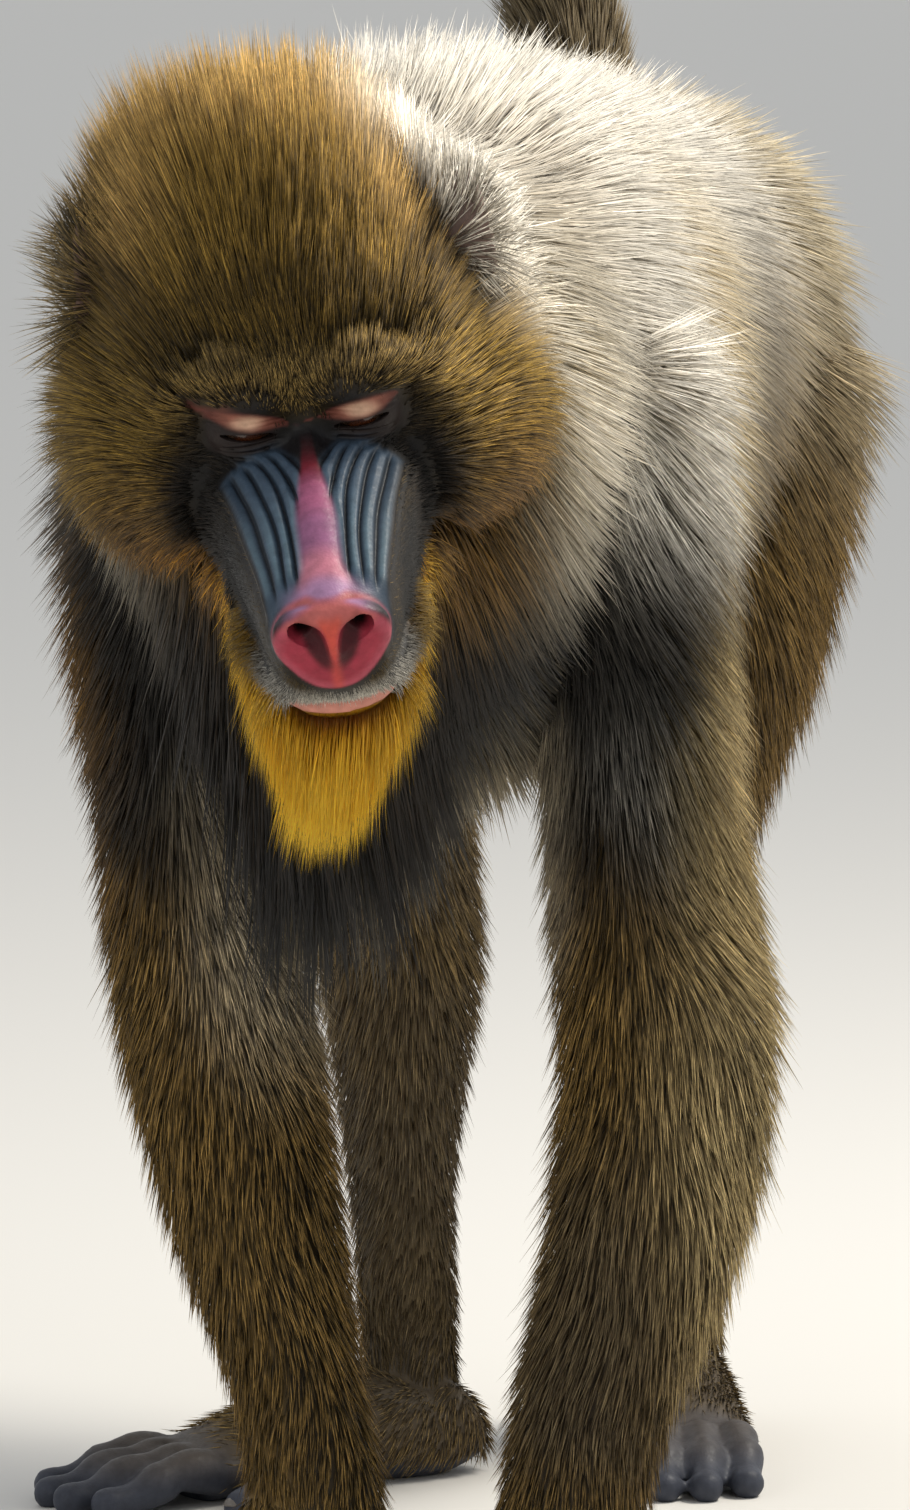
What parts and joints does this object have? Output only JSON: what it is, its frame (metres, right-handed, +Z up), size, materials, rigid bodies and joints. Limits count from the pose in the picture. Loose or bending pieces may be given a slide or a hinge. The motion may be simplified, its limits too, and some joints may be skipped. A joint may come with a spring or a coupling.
{
  "type": "mandrill",
  "caption": "Life-size still model of an adult male mandrill walking on all fours, head lowered, with a long maned coat, a ridged bare muzzle and a short upright tail.",
  "frame": {"origin": "centre of the bounding box's bottom face, on the floor under the animal", "axes": "+Z up, the animal faces -Y, its left side is +X"},
  "size_m": [0.36, 0.9126, 0.6452],
  "materials": {
    "head_coat": "olive agouti hair, soft",
    "mantle_coat": "long golden olive hair, soft",
    "body_coat": "long silver and cream hair over grey brown, soft",
    "tail_coat": "tan brown hair, soft",
    "arm_coat": "olive brown agouti hair, soft",
    "leg_coat": "warm brown hair, soft",
    "bare_skin": "blue grey bare skin",
    "ear_skin": "pinkish grey bare skin",
    "eye": "moist, glossy"
  },
  "bodies": {
    "root": {"head": "head_coat", "neck": "mantle_coat", "torso": "body_coat", "tail": "tail_coat", "upper_arm_left": "arm_coat", "upper_arm_right": "arm_coat", "forearm_left": "arm_coat", "forearm_right": "arm_coat", "hand_left": "bare_skin", "hand_right": "bare_skin", "thigh_left": "leg_coat", "thigh_right": "leg_coat", "shank_left": "leg_coat", "shank_right": "leg_coat", "foot_left": "bare_skin", "foot_right": "bare_skin", "ear_left": "ear_skin", "ear_right": "ear_skin", "eye_left": "eye", "eye_right": "eye"}
  },
  "joints": []
}
